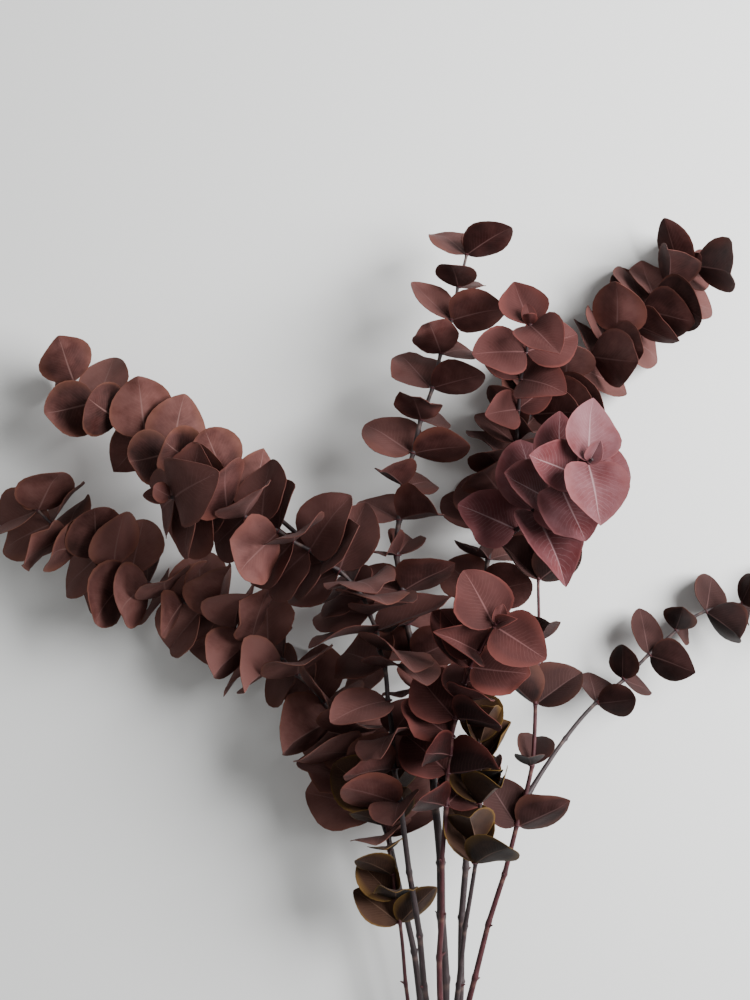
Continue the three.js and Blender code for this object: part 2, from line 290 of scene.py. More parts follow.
def leafMaterial(name, look, isUnder):
    material, tree, shader = startMaterial(name + ("_under" if isUnder else "_upper"))
    shader.inputs["Specular IOR Level"].default_value = 0.12
    shader.inputs["Sheen Weight"].default_value = 0.02
    shader.inputs["Sheen Roughness"].default_value = 0.5
    place = addNode(tree, "ShaderNodeAttribute", (-1500, 300), attribute_name="leafPlace")
    tone = addNode(tree, "ShaderNodeAttribute", (-1500, 0), attribute_name="leafTone")
    rim = addNode(tree, "ShaderNodeAttribute", (-1500, -150), attribute_name="leafRim")
    coordinates = addNode(tree, "ShaderNodeTexCoord", (-1500, -300))
    wander = addNoise(tree, coordinates.outputs["Object"], 110, 2, (-1300, -420))
    wander = addMath(tree, "MULTIPLY", wander, 0.07, (-1150, -420))
    veins = addNode(tree, "ShaderNodeGroup", (-1000, 300), node_tree=veinGroup)
    tree.links.new(place.outputs["Vector"], veins.inputs["Leaf Place"])
    tree.links.new(wander, veins.inputs["Wander"])
    bloom = addNode(tree, "ShaderNodeGroup", (-1000, -200), node_tree=bloomGroup)
    tree.links.new(coordinates.outputs["Object"], bloom.inputs["Vector"])
    bloom.inputs["Amount"].default_value = look["bloomAmount"] * (1.25 if isUnder else 1)

    split = addNode(tree, "ShaderNodeSeparateXYZ", (-1250, 120))
    tree.links.new(place.outputs["Vector"], split.inputs[0])
    shade = addMath(tree, "MULTIPLY_ADD", bloom.outputs["Mottle"], 1.1, (-900, 60), -0.67)
    shade = addMath(tree, "MULTIPLY_ADD", split.outputs["Y"], 0.28, (-760, 60), shade)
    shade = addMath(tree, "ADD", shade, tone.outputs["Fac"], (-600, 60), clamp=True)
    colour = addRamp(tree, shade, look["tones"], (-430, 60))
    if isUnder:
        colour = addMix(tree, 0.58, colour, (*look["under"], 1), (-200, 60))
    smoky = addMath(tree, "MULTIPLY_ADD", split.outputs["Y"], -2.4, (-760, 220), 1.0)  # dark at the base
    side = addMath(tree, "ABSOLUTE", split.outputs["X"], None, (-900, 220))
    smoky = addMath(tree, "MULTIPLY_ADD", side, -0.7, (-600, 220), smoky)
    smoky = addMath(tree, "MULTIPLY", smoky, 0.6, (-450, 220), clamp=True)
    colour = addMix(tree, smoky, colour, (*look["tones"][0], 1), (-100, 160))
    bloomShow = addMath(tree, "MULTIPLY_ADD", shade, 0.9, (-430, -60), 0.4, clamp=True)
    bloomShow = addMath(tree, "MULTIPLY", bloomShow, bloom.outputs["Bloom"], (-260, -60))
    colour = addMix(tree, bloomShow, colour, (*look["bloom"], 1), (-20, 60))
    darkening = addMath(tree, "MULTIPLY", bloom.outputs["Spots"], 0.65, (-200, -200))
    colour = addMix(tree, darkening, colour, (*spotColour, 1), (160, 60))
    veinShow = addMath(tree, "MULTIPLY", veins.outputs["Side Veins"], 0.26 if isUnder else 0.16, (-200, 420))
    ribShow = addMath(tree, "MULTIPLY", veins.outputs["Midrib"], 0.85 if isUnder else 0.7, (-200, 300))
    veinShow = addMath(tree, "MAXIMUM", veinShow, ribShow, (0, 360))
    colour = addMix(tree, veinShow, colour, (*look["vein"], 1), (340, 60))
    edge = addMath(tree, "MULTIPLY_ADD", veins.outputs["Margin"], 9.0, (160, -200), -7.9, clamp=True)
    edge = addMath(tree, "MULTIPLY", edge, look["rimAmount"], (320, -200))
    wide = addMath(tree, "MULTIPLY_ADD", veins.outputs["Margin"], 2.6, (160, -380), -1.55, clamp=True)
    wide = addMath(tree, "MULTIPLY", wide, rim.outputs["Fac"], (320, -380))
    edge = addMath(tree, "MAXIMUM", edge, wide, (480, -280), clamp=True)
    colour = addMix(tree, edge, colour, (*look["rim"], 1), (560, 60))
    tree.links.new(colour, shader.inputs["Base Color"])

    rough = addMath(tree, "MULTIPLY_ADD", bloom.outputs["Bloom"], 0.2, (160, -560), 0.66 if isUnder else 0.56)
    rough = addMath(tree, "MULTIPLY_ADD", bloom.outputs["Grain"], 0.12, (320, -560), rough)
    tree.links.new(rough, shader.inputs["Roughness"])
    relief = addMath(tree, "MULTIPLY", veins.outputs["Side Veins"], 0.5 if isUnder else -0.35, (-200, 560))
    relief = addMath(tree, "ADD", relief, bloom.outputs["Grain"], (0, 560))
    relief = addMath(tree, "ADD", relief, bloom.outputs["Mottle"], (160, 560))
    addBump(tree, relief, 0.35, 0.0004, (340, 560))
    return material


leafMaterials = {
    name: [leafMaterial(name, look, False), leafMaterial(name, look, True)]
    for name, look in leafLooks.items()
}

barkLooks = {
    "bark": {
        "tones": [(0.009, 0.005, 0.006), (0.026, 0.0145, 0.0165), (0.065, 0.046, 0.048)],
        "scar": (0.14, 0.085, 0.07),
    },
    "red_bark": {
        "tones": [(0.014, 0.0035, 0.0045), (0.052, 0.009, 0.0125), (0.095, 0.032, 0.036)],
        "scar": (0.17, 0.085, 0.065),
    },
}


# Bark in long streaks: barkPlace is the stem laid straight, with its length along z.
def barkMaterial(name, look):
    material, tree, shader = startMaterial(name)
    shader.inputs["Specular IOR Level"].default_value = 0.4
    place = addNode(tree, "ShaderNodeAttribute", (-1300, 200), attribute_name="barkPlace")
    ring = addNode(tree, "ShaderNodeAttribute", (-1300, -300), attribute_name="barkRing")
    stretch = addNode(tree, "ShaderNodeMapping", (-1100, 200))
    stretch.inputs["Scale"].default_value = (1, 1, 0.08)
    tree.links.new(place.outputs["Vector"], stretch.inputs["Vector"])
    streaks = addNoise(tree, stretch.outputs["Vector"], 900, 5, (-900, 300), 0.65)
    patches = addNoise(tree, place.outputs["Vector"], 90, 4, (-900, 60))
    grain = addNoise(tree, place.outputs["Vector"], 2600, 3, (-900, -150), 0.7)
    shade = addMath(tree, "MULTIPLY_ADD", streaks, 1.3, (-650, 300), -0.45)
    shade = addMath(tree, "MULTIPLY_ADD", patches, 1.1, (-480, 200), shade)
    shade = addMath(tree, "SUBTRACT", shade, 0.32, (-320, 200), clamp=True)
    colour = addRamp(tree, shade, look["tones"], (-150, 200))
    scar = addMath(tree, "MULTIPLY", ring.outputs["Fac"], grain, (-480, -250))
    scar = addMath(tree, "MULTIPLY", scar, 0.95, (-300, -250), clamp=True)
    colour = addMix(tree, scar, colour, (*look["scar"], 1), (120, 200))
    tree.links.new(colour, shader.inputs["Base Color"])
    rough = addMath(tree, "MULTIPLY_ADD", grain, 0.3, (-150, -100), 0.42)
    tree.links.new(rough, shader.inputs["Roughness"])
    relief = addMath(tree, "MULTIPLY_ADD", streaks, 1.4, (-300, 480), grain)
    addBump(tree, relief, 0.6, 0.0003, (-100, 480))
    return material


barkMaterials = {name: barkMaterial(name, look) for name, look in barkLooks.items()}


# The sawn wood of the cut end: pale, with growth rings and a fine radial grain.
def cutWoodMaterial(middle):
    material, tree, shader = startMaterial("cutWood")
    coordinates = addNode(tree, "ShaderNodeTexCoord", (-1100, 0))
    centred = addNode(tree, "ShaderNodeMapping", (-900, 0))
    centred.inputs["Location"].default_value = tuple(-value for value in middle)
    tree.links.new(coordinates.outputs["Object"], centred.inputs["Vector"])
    rings = addNode(tree, "ShaderNodeTexWave", (-680, 100), wave_type="RINGS", rings_direction="Y")
    rings.inputs["Scale"].default_value = 320
    rings.inputs["Distortion"].default_value = 2.5
    tree.links.new(centred.outputs["Vector"], rings.inputs["Vector"])
    fibre = addNoise(tree, centred.outputs["Vector"], 2200, 4, (-680, -200), 0.7)
    shade = addMath(tree, "MULTIPLY_ADD", rings.outputs["Fac"], 0.45, (-450, 0), 0.1)
    shade = addMath(tree, "MULTIPLY_ADD", fibre, 0.5, (-300, 0), shade)
    colour = addRamp(tree, shade, [(0.2, 0.11, 0.06), (0.56, 0.42, 0.26)], (-120, 0))
    tree.links.new(colour, shader.inputs["Base Color"])
    shader.inputs["Roughness"].default_value = 0.8
    addBump(tree, shade, 0.5, 0.0002, (-120, -260))
    return material


# ---- stems

stemLook = {
    "ringReach": 0.011,  # corners of one CAD ring lie closer together than this
    "step": 0.0025,  # length of stem between two sections
    "bevelResolution": 3,
    "knuckleRise": 0.32,  # swelling of the stem where a pair of leaves grows
    "knuckleLength": 0.0016,
    "bareGap": 0.046,  # a bare stretch still shows the scars of lost leaves this far apart
    "bareGapRange": (0.8, 1.2),  # shares of that gap
    "footFlare": 0.5,
    "footLength": 0.007,
    "kink": 0.0007,  # the stem bends a little at each knuckle
    "barkRim": 0.0009,  # thickness of the bark round the cut end
    "capFacing": 0.9,  # faces that look back along the stem more squarely than this are the cut end
    "aimReach": 0.004,  # the stem's direction is taken over this length each way
    "fadeLength": 0.03,  # the bends at the knuckles fade out over this length at each end
    "clearance": 0.0001,  # room left above the table
    "smoothAngle": 60,
}


def ringsOf(branch):
    points = nodePoints(branch + "_stem")
    rings = []
    while len(points):
        near = np.linalg.norm(points - points[0], axis=1) < stemLook["ringReach"]
        centre = points[near].mean(axis=0)
        rings.append((centre, np.linalg.norm(points[near] - centre, axis=1).max()))
        points = points[~near]
    return sorted(rings, key=lambda ring: -ring[1])  # a stem tapers, so this runs from foot to tip


# A smooth line through the middles of the rings, with the stem's radius at each point.
def smoothRoute(rings):
    centres = np.array([centre for centre, radius in rings])
    radii = np.array([radius for centre, radius in rings])
    centres = np.vstack([2 * centres[0] - centres[1], centres, 2 * centres[-1] - centres[-2]])
    points, thickness = [], []
    for index in range(1, len(centres) - 2):
        before, start, end, after = centres[index - 1: index + 3]
        count = max(2, round(np.linalg.norm(end - start) / stemLook["step"]))
        for t in np.arange(count) / count:
            bend = (end - before) * t + (2 * before - 5 * start + 4 * end - after) * t ** 2
            bend += (3 * start - before - 3 * end + after) * t ** 3
            points.append(start + bend / 2)
            thickness.append(radii[index - 1] * (1 - t) + radii[index] * t)
    points.append(centres[-2])
    thickness.append(radii[-1])
    return np.array(points), np.array(thickness)


def routeLengths(points):
    return np.concatenate([[0], np.cumsum(np.linalg.norm(np.diff(points, axis=0), axis=1))])


class Stem:
    def __init__(self, branch):
        self.branch = branch
        self.points, self.radii = smoothRoute(ringsOf(branch))
        self.lengths = routeLengths(self.points)
        self.total = self.lengths[-1]

    def at(self, length):
        point = np.array([np.interp(length, self.lengths, self.points[:, axis]) for axis in range(3)])
        return point, np.interp(length, self.lengths, self.radii)

    def along(self, length):
        ahead = self.at(min(length + stemLook["aimReach"], self.total))[0]
        behind = self.at(max(length - stemLook["aimReach"], 0))[0]
        return unit(ahead - behind)

    def frameAt(self, length):  # along, level and lift, as a leaf pair is turned round its stem
        along = self.along(length)
        level = unit(np.cross(along, (0, 0, 1)))
        return along, level, np.cross(level, along)


stems = {branch: Stem(branch) for branch in branchNames}
print("stems read:", len(stems))


# ---- leaves read from the CAD pairs

claspDepth = 0.6  # a blade starts inside the bark, at this share of the stem's radius


class Leaf:
    def __init__(self, stem, length, angle, opening, size, width):
        self.stem, self.length, self.angle, self.opening = stem, length, angle, opening
        self.size, self.width = size, width  # the blade's length and breadth
        self.roll = 0  # turn about the blade's own midrib, towards the light
        self.sunk = 0  # how many points of the blade would lie below the table

    def axes(self):
        point, radius = self.stem.at(self.length)
        along, level, lift = self.stem.frameAt(self.length)
        spread = level * math.cos(self.angle) + lift * math.sin(self.angle)
        blade = along * math.cos(self.opening) + spread * math.sin(self.opening)
        face = along * math.sin(self.opening) - spread * math.cos(self.opening)
        across = np.cross(face, blade)
        turned = face * math.cos(self.roll) + across * math.sin(self.roll)
        return point + spread * radius * claspDepth, np.cross(turned, blade), blade, turned


# bladeStart is the share of a blade, from its base, that its turn isn't read from.
pairLook = {"collarReach": 0.003, "broadness": 0.98, "bladeStart": 0.25}


# How far a blade is turned about its midrib: the slant of the points on either side of it.
def readRoll(leaf, points):
    base, across, blade, face = leaf.axes()
    reach = points - base
    reach = reach[reach @ blade > pairLook["bladeStart"] * leaf.size]
    spread = np.cov(reach @ across, reach @ face)
    return -0.5 * math.atan2(2 * spread[0, 1], spread[0, 0] - spread[1, 1])


def readPair(node, stem):
    points = nodePoints(node)
    gaps = np.linalg.norm(points[:, None] - stem.points[None], axis=2)
    near = gaps.min(axis=1) < stem.radii[gaps.argmin(axis=1)] + pairLook["collarReach"]
    heart = np.median(stem.lengths[gaps.argmin(axis=1)[near]])
    middle, radius = stem.at(heart)
    along, level, lift = stem.frameAt(heart)
    reach = points - middle
    first = reach[np.linalg.norm(reach, axis=1).argmax()]
    turned = reach - np.outer(reach @ along, along)
    other = reach[turned @ first < 0]
    second = other[np.linalg.norm(other, axis=1).argmax()]
    leaves = []
    for tip in (first, second):
        angle = math.atan2(tip @ lift, tip @ level)
        spread = level * math.cos(angle) + lift * math.sin(angle)
        fromBark = tip - spread * radius
        opening = math.atan2(fromBark @ spread, fromBark @ along)
        size = np.linalg.norm(fromBark)
        leaf = Leaf(stem, heart, angle, opening, size, size * pairLook["broadness"])
        leaf.roll = readRoll(leaf, points[turned @ tip > 0])
        leaves.append(leaf)
    return leaves


pairNodes = {
    branch: [name for name in nodeNames if name.startswith(branch + "_leaf_pair_")]
    for branch in branchNames
}
cadPairs = {
    branch: sorted(
        ((node, readPair(node, stems[branch])) for node in nodes),
        key=lambda pair: pair[1][0].length,
    )
    for branch, nodes in pairNodes.items()
}
print("leaf pairs read:", sum(len(pairs) for pairs in cadPairs.values()))


# ---- leaf blanks, one of each habit, that every leaf is a copy of

blankLook = {
    "columns": 8, "rows": 12, "thickness": 0.00038, "smoothAngle": 50,
    "parked": 3,  # finished rows wait this far beyond the tip
    "baseWidth": 0.0012, "tipWidth": 0.9995,  # where on the outline the end rows take their width
}

# fullness rounds the outline and point makes its tip acute (1 is a sharp corner), shoulder moves its
# widest place towards the base (under 1), breadth narrows it, cup lifts the margins in a curve and
# fold in a crease, groove sinks the midrib, bend tips the blade back, and each pull moves a place
# of the blade (x, y) up or down by a height over a reach.
habits = {
    "round": {
        "fullness": 0.54, "point": 0.58, "shoulder": 0.84, "breadth": 1.0, "cup": 0.05, "fold": 0.02,
        "groove": 0.014, "bend": -0.06, "pulls": [(-0.4, 0.7, 0.035, 0.4), (0.45, 0.35, -0.04, 0.4)],
    },
    "broad": {
        "fullness": 0.5, "point": 0.67, "shoulder": 0.72, "breadth": 1.04, "cup": 0.01, "fold": 0.05,
        "groove": 0.012, "bend": -0.1,
        "pulls": [(-0.5, 0.3, 0.06, 0.35), (0.5, 0.6, 0.05, 0.4), (0.1, 1.0, -0.05, 0.35)],
    },
    "pointed": {
        "fullness": 0.6, "point": 0.84, "shoulder": 0.7, "breadth": 0.92, "cup": 0.03, "fold": 0.13,
        "groove": 0.01, "bend": -0.04, "pulls": [(0.4, 0.6, -0.05, 0.35), (0.0, 1.0, 0.06, 0.3)],
    },
    "oval": {
        "fullness": 0.58, "point": 0.68, "shoulder": 0.9, "breadth": 0.76, "cup": 0.06, "fold": 0.04,
        "groove": 0.014, "bend": -0.12, "pulls": [(-0.35, 0.5, -0.04, 0.4)],
    },
    "wavy": {
        "fullness": 0.52, "point": 0.64, "shoulder": 0.8, "breadth": 1.0, "cup": 0.02, "fold": 0.04,
        "groove": 0.014, "bend": -0.05,
        "pulls": [
            (-0.5, 0.3, 0.08, 0.25), (-0.42, 0.75, -0.09, 0.28), (0.48, 0.45, -0.08, 0.26),
            (0.4, 0.85, 0.1, 0.26), (0.0, 1.0, -0.04, 0.25),
        ],
    },
    "creased": {
        "fullness": 0.55, "point": 0.74, "shoulder": 0.76, "breadth": 0.9, "cup": 0.0, "fold": 0.3,
        "groove": 0.006, "bend": -0.08, "pulls": [(-0.45, 0.5, 0.06, 0.3), (0.0, 1.0, -0.06, 0.3)],
    },
    "rolled": {
        "fullness": 0.58, "point": 0.7, "shoulder": 0.8, "breadth": 0.8, "cup": 0.34, "fold": 0.05,
        "groove": 0.02, "bend": 0.06, "pulls": [(-0.4, 0.6, 0.08, 0.3), (0.0, 1.0, -0.08, 0.3)],
    },
}


def selectWhere(mesh, test):
    for vertex in mesh.verts:
        vertex.select = test(vertex.co)
    mesh.select_flush(True)


def modelBlank(name, habit):
    columns, rows = blankLook["columns"], blankLook["rows"]
    deselectAll()
    bpy.ops.mesh.primitive_grid_add(x_subdivisions=columns, y_subdivisions=rows, size=1, location=(0, 0.5, 0))
    blank = bpy.context.object
    blank.name = "blank_" + name
    applyPlace()
    place = blank.data.attributes.new("leafPlace", "FLOAT_VECTOR", "POINT")
    for vertex, slot in zip(blank.data.vertices, place.data):
        x, y = 2 * vertex.co.x, vertex.co.y
        slot.vector = (x, (1 - math.cos(math.pi * y)) / 2, max(abs(x), abs(2 * y - 1)))
    for label in ("leafTone", "leafRim"):
        blank.data.attributes.new(label, "FLOAT", "POINT")
    bpy.ops.object.mode_set(mode="EDIT")
    bpy.ops.mesh.select_mode(type="VERT")
    mesh = bmesh.from_edit_mesh(blank.data)
    for column in range(columns + 1):  # the columns first, while they are still straight
        x = column / columns - 0.5
        selectWhere(mesh, lambda co: abs(co.x - x) < 0.01)
        lift = habit["cup"] * (2 * x) ** 2 + habit["fold"] * abs(2 * x)
        lift -= habit["groove"] if column == columns // 2 else 0
        bpy.ops.transform.translate(value=(0, 0, lift))
    for row in range(rows, -1, -1):  # each row is parked beyond the tip, so that it meets none that waits
        y = row / rows
        along = (1 - math.cos(math.pi * y)) / 2
        share = min(max(along, blankLook["baseWidth"]), blankLook["tipWidth"])
        roundness = habit["fullness"] + (habit["point"] - habit["fullness"]) * share ** 2
        half = math.sin(math.pi * share ** habit["shoulder"]) ** roundness
        selectWhere(mesh, lambda co: abs(co.y - y) < 1e-4)
        bpy.ops.transform.resize(value=(half * habit["breadth"], 1, half), center_override=(0, y, 0))
        bpy.ops.transform.translate(value=(0, along - y + blankLook["parked"], habit["bend"] * along ** 2))
    bpy.ops.mesh.select_all(action="SELECT")
    bpy.ops.transform.translate(value=(0, -blankLook["parked"], 0))
    for x, y, lift, reach in habit["pulls"]:
        nearest = min(mesh.verts, key=lambda vertex: math.hypot(vertex.co.x - x, vertex.co.y - y))
        selectWhere(mesh, lambda co: (co - nearest.co).length < 1e-5)
        bpy.ops.transform.translate(
            value=(0, 0, lift), use_proportional_edit=True,
            proportional_edit_falloff="SMOOTH", proportional_size=reach,
        )
    bpy.ops.object.mode_set(mode="OBJECT")
    return blank


blanks = {name: modelBlank(name, habit) for name, habit in habits.items()}
blankPoints = {name: pointsOf(blank) for name, blank in blanks.items()}
blankFaces = [tuple(face.vertices) for face in blanks["round"].data.polygons]
print("leaf blanks:", len(blanks))

# How the copies differ: twist, bend and sidewards are each leaf's own, archUp tips back the leaves that
# point up, ripples are a height, a share of it at the midrib and turns across and along, and toneDraw
# and rimDraw are what the tone and the yellow rim are drawn from.
leafSway = {
    "twist": 0.3, "twistPower": 1.5, "bend": 0.1, "archUp": -0.3, "sidewards": 0.06,
    "rippleHeight": 0.012, "rippleMidrib": 0.3, "rippleAcross": 9, "rippleAlong": 7, "rippleShift": 3,
    "floor": 0.0004, "sunkBelow": -0.001, "toneDraw": (2.0, 2.2), "rimDraw": (0.1, 0.22),
}

# The habits that each branch's leaves are drawn from.
branchHabits = {
    "leader": ["round", "broad", "wavy", "pointed", "creased", "oval"],
    "left_branch": ["round", "broad", "broad", "pointed", "wavy", "creased"],
    "upper_left_branch": ["round", "broad", "broad", "wavy", "pointed"],
    "far_left_twig": ["round", "broad", "pointed"],
    "right_branch": ["oval", "round", "broad", "pointed", "creased"],
    "upper_twig": ["broad", "round", "pointed"],
    "raised_twig": ["pointed", "broad", "wavy", "creased"],
    "thin_branch": ["rolled", "pointed", "oval", "creased"],
    "right_twig": ["oval", "round", "pointed", "rolled"],
    "centre_branch": ["wavy", "pointed", "broad", "rolled", "creased"],
    "lower_centre_branch": ["oval", "round", "rolled", "wavy", "creased"],
    "lower_left_twig": ["rolled", "oval", "wavy", "creased"],
}


# On these branches the leaves grow paler towards the tip, by this share of their tone, and some
# branches are shifted paler or darker than the rest: partly their own colour, partly painted light that
# lightens branches the lamp on the right lights less and painted shade that darkens those in the dense core.
tonedByPlace = {"raised_twig": 0.6, "centre_branch": 0.4, "lower_centre_branch": 0.3}
branchToneAndPaintedLight = {
    "left_branch": 0.2, "upper_left_branch": 0.22, "far_left_twig": 0.04, "right_branch": -0.04,
    "upper_twig": 0.28, "raised_twig": -0.06, "thin_branch": -0.12, "right_twig": -0.1,
    "centre_branch": -0.15, "lower_centre_branch": -0.14, "lower_left_twig": -0.06,
}


def placeShare(leaf):
    lowest = cadPairs[leaf.stem.branch][0][1][0].length
    return min(1, max(0, (leaf.length - lowest) / (leaf.stem.total - lowest)))


def giveHabit(leaf):
    leaf.habit = draw.choice(branchHabits[leaf.stem.branch])
    leaf.mirrored = draw.random() < 0.5
    leaf.sway = [draw.uniform(-1, 1) for _ in range(4)]
    byPlace = tonedByPlace.get(leaf.stem.branch, 0)
    leaf.tone = draw.betavariate(*leafSway["toneDraw"]) * (1 - byPlace) + byPlace * placeShare(leaf) ** 2
    # the branch's shift: partly its own colour, partly painted light and painted shade
    leaf.tone += branchToneAndPaintedLight.get(leaf.stem.branch, 0)
    leaf.rim = max(0.0, draw.gauss(*leafSway["rimDraw"]))
    return leaf


# The blade's points in place: a copy of its blank, twisted, bent and laid along the leaf's axes.
def leafPoints(leaf):
    points = blankPoints[leaf.habit].copy()
    if leaf.mirrored:
        points[:, 0] *= -1
    base, across, blade, face = leaf.axes()
    twist, bend, side, ripple = leaf.sway
    turn = leafSway["twist"] * twist * points[:, 1] ** leafSway["twistPower"]
    x, y, z = points.T.copy()
    points[:, 0] = x * np.cos(turn) - z * np.sin(turn)
    arch = leafSway["bend"] * bend + leafSway["archUp"] * max(0, blade[2]) ** 2
    points[:, 2] = x * np.sin(turn) + z * np.cos(turn) + arch * y ** 2
    phase = leafSway["rippleAcross"] * x + leafSway["rippleAlong"] * y + leafSway["rippleShift"] * ripple
    points[:, 2] += leafSway["rippleHeight"] * np.sin(phase) * (leafSway["rippleMidrib"] + np.abs(2 * x))
    points[:, 0] += leafSway["sidewards"] * side * y ** 2
    placed = base + np.outer(points[:, 0] * leaf.width, across)
    placed += np.outer(y * leaf.size, blade) + np.outer(points[:, 2] * leaf.size, face)
    leaf.sunk = int((placed[:, 2] < leafSway["sunkBelow"]).sum())
    placed[:, 2] = np.maximum(placed[:, 2], leafSway["floor"])  # a leaf that meets the table bends
    return placed


class Obstacle:
    def __init__(self, leaf):
        points = leafPoints(leaf)
        self.low, self.high = points.min(axis=0), points.max(axis=0)
        self.tree = BVHTree.FromPolygons([Vector(point) for point in points], blankFaces)

    def meets(self, other):
        if np.any(self.low > other.high) or np.any(other.low > self.high):
            return 0
        return len(self.tree.overlap(other.tree))


# How far each branch's leaves turn to the light: 0 leaves them square to the stem, 1 lays them open.
towardsLight = {
    "leader": 0.5, "left_branch": 0.42, "upper_left_branch": 0.4, "far_left_twig": 0.75,
    "right_branch": 0.55, "upper_twig": 0.65, "raised_twig": 0.5, "thin_branch": 0.55,
    "right_twig": 0.6, "centre_branch": 0.6, "lower_centre_branch": 0.6, "lower_left_twig": 0.6,
}
rollLook = {"spread": 0.3, "most": 1.15, "tries": [0, -0.1, 0.1, -0.2, 0.2, -0.35, 0.35]}


# The turn about the midrib that would bring the nearer side of a blade to face up.
def fullRoll(leaf):
    leaf.roll = 0
    base, across, blade, face = leaf.axes()
    turn = math.atan2(across[2], face[2])
    if abs(turn) > math.pi / 2:
        turn -= math.copysign(math.pi, turn)
    return turn


obstacles = []  # every blade that has its place


# How many faces of a blade cross the placed ones, counted no further than past least, and how many of
# its points would be below the table.
def trouble(leaf, obstacle, least):
    total = leaf.sunk
    for other in obstacles:
        total += obstacle.meets(other)
        if total > least:
            break
    return total


crossing = 0
for branch in branchNames:
    for node, leaves in cadPairs[branch]:
        for leaf in leaves:
            giveHabit(leaf)
            read, best = leaf.roll, None
            for change in rollLook["tries"]:
                leaf.roll = read + change
                obstacle = Obstacle(leaf)
                total = trouble(leaf, obstacle, math.inf)
                if best is None or total < best[0]:
                    best = total, leaf.roll, obstacle
                if not total:
                    break
            leaf.roll = best[1]
            obstacles.append(best[2])
            crossing += bool(best[0])
print("leaves of the CAD pairs placed:", len(obstacles), "of which still touch another:", crossing)


# ---- the pairs between the CAD pairs, and the small leaves at the tips

fillLook = {
    "turns": [0, 0.3, -0.3, 0.6, -0.6, 0.9, -0.9, 1.3, -1.3],
    "openings": [0, -0.25, 0.2, -0.5],
    "sizes": [1, 0.85, 0.7],
    "mostTouching": 0,  # how many faces of a leaf may cross others
    "tipSizes": [0.62, 0.36],
    "tipOpenings": [0.62, 0.36],
    "tipSteps": [0.011, 0.004],
    "tipWidth": 0.8,  # breadth of a tip leaf, as a share of what its length gives
    "angleRange": (-0.12, 0.12),
    "openingRange": (0.92, 1.08),
    "sizeRange": (0.88, 1.06),
    "widthRange": (0.88, 1.02),
    "below": 0.026,  # step from the lowest CAD pair to the leaves that grow below it
}

# How many pairs grow between two CAD pairs and below the lowest one, each with the leaves' size.
betweenPairs = {
    "leader": (1, 0.85), "left_branch": (3, 1.05), "upper_left_branch": (3, 1.05), "far_left_twig": (2, 1.0),
    "right_branch": (3, 0.98), "upper_twig": (1, 1.0), "raised_twig": (1, 0.88), "thin_branch": (1, 0.8),
    "right_twig": (1, 0.8), "centre_branch": (2, 0.9), "lower_centre_branch": (2, 0.9),
    "lower_left_twig": (4, 0.92),
}
lowerPairs = {
    "leader": (3, 1.0), "left_branch": (1, 0.9), "upper_left_branch": (4, 0.85), "far_left_twig": (1, 0.8),
    "right_branch": (4, 0.85), "upper_twig": (1, 0.8), "raised_twig": (1, 0.85),
    "centre_branch": (1, 0.9),
}  # the other branches have none below


def tryLeaf(leaf):
    angle, opening, size, width = leaf.angle, leaf.opening, leaf.size, leaf.width
    share = towardsLight[leaf.stem.branch] + draw.uniform(-1, 1) * rollLook["spread"]
    least, best = math.inf, None
    for shrink, openMore, turnMore in product(fillLook["sizes"], fillLook["openings"], fillLook["turns"]):
        leaf.angle, leaf.opening = angle + turnMore, opening + openMore
        leaf.size, leaf.width = size * shrink, width * shrink
        leaf.roll = max(-rollLook["most"], min(rollLook["most"], fullRoll(leaf) * share))
        obstacle = Obstacle(leaf)
        total = trouble(leaf, obstacle, least)
        if total < least:
            least, best = total, (leaf.angle, leaf.opening, leaf.size, leaf.width, leaf.roll)
            placed = obstacle
        if not least:
            break
    if least > fillLook["mostTouching"]:
        return None
    leaf.angle, leaf.opening, leaf.size, leaf.width, leaf.roll = best
    obstacles.append(placed)
    return leaf


def fillPair(stem, length, angle, opening, size, width):
    leaves = []
    for turn in (0, math.pi):
        leaf = Leaf(
            stem, length, angle + turn + draw.uniform(*fillLook["angleRange"]),
            opening * draw.uniform(*fillLook["openingRange"]),
            size * draw.uniform(*fillLook["sizeRange"]), width * draw.uniform(*fillLook["widthRange"]),
        )
        leaves.append(tryLeaf(giveHabit(leaf)))
    return [leaf for leaf in leaves if leaf]


def meanOf(leaves, label):
    return sum(getattr(leaf, label) for leaf in leaves) / len(leaves)


betweenLeaves = {}
for branch in branchNames:
    stem, pairs, grown = stems[branch], [leaves for node, leaves in cadPairs[branch]], []
    count, share = betweenPairs[branch]
    for lower, upper in zip(pairs, pairs[1:]):
        both = lower + upper
        for index in range(1, count + 1):
            way = index / (count + 1)
            grown += fillPair(
                stem, lower[0].length * (1 - way) + upper[0].length * way, lower[0].angle + math.pi * way,
                meanOf(both, "opening"), meanOf(both, "size") * share, meanOf(both, "width") * share,
            )
    count, share = lowerPairs.get(branch, (0, 0))
    for index in range(count):
        grown += fillPair(
            stem, pairs[0][0].length - fillLook["below"] * (index + 1),
            pairs[0][0].angle + math.pi / 2 * (index + 1),
            meanOf(pairs[0], "opening"), meanOf(pairs[0], "size") * share, meanOf(pairs[0], "width") * share,
        )
    for index, share in enumerate(fillLook["tipSizes"]):
        grown += fillPair(
            stem, stem.total - fillLook["tipSteps"][index], pairs[-1][0].angle + math.pi / 2 * (index + 1),
            fillLook["tipOpenings"][index], meanOf(pairs[-1], "size") * share,
            meanOf(pairs[-1], "width") * share * fillLook["tipWidth"],
        )
    betweenLeaves[branch] = grown
print("leaves between the pairs:", sum(len(leaves) for leaves in betweenLeaves.values()))


# ---- building the leaf pieces

slotOf = {row["node"]: row["material_slot"] for row in frame["record"]["subparts"]}


